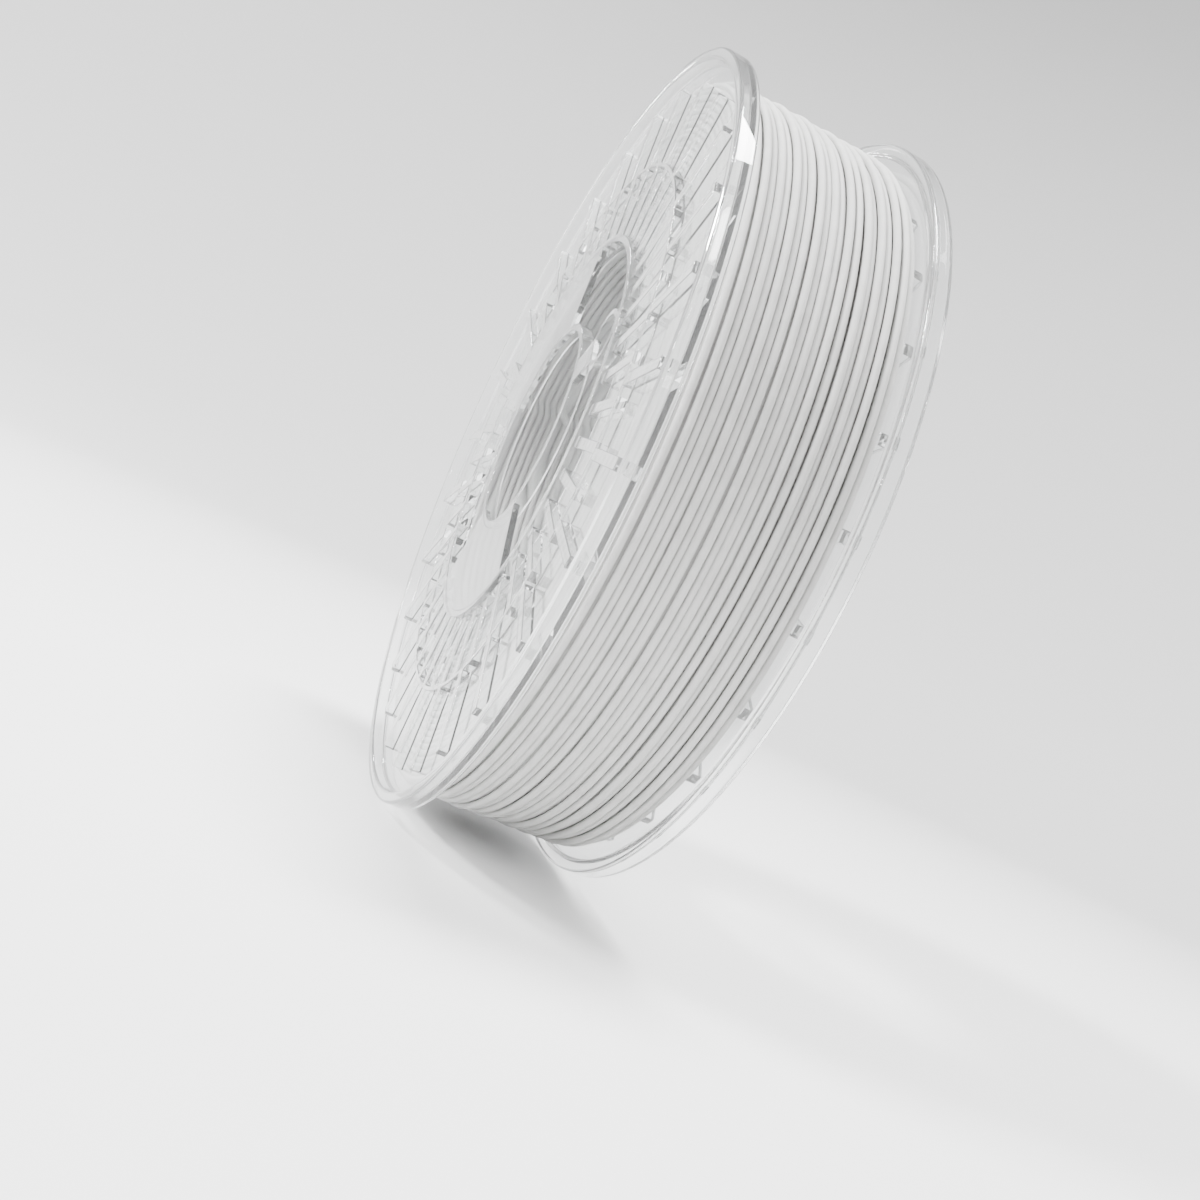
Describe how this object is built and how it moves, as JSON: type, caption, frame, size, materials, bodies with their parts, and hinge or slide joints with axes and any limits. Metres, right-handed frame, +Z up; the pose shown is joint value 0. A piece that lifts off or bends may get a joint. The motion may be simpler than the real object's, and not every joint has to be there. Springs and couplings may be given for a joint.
{
  "type": "filament spool",
  "caption": "Clear plastic spool with ribbed flanges and an open hub, wound full with matte off-white printer filament.",
  "frame": {"origin": "centre of the spool, on its axis, half way between the flanges", "axes": "+Y along the spool's axis, from the near flange to the far one; +Z up with the spool standing on its rims"},
  "size_m": [0.2, 0.053, 0.2],
  "materials": {
    "clear_plastic": "clear, polished",
    "filament": "matte, fine grain"
  },
  "bodies": {
    "root": {"near_flange": "clear_plastic", "near_bore_ring": "clear_plastic", "near_hub_plates": "clear_plastic", "near_spoke": "clear_plastic", "barrel": "clear_plastic", "filament_pack": "filament", "far_flange": "clear_plastic", "far_bore_ring": "clear_plastic", "far_hub_plates": "clear_plastic", "far_spoke": "clear_plastic"}
  },
  "joints": []
}
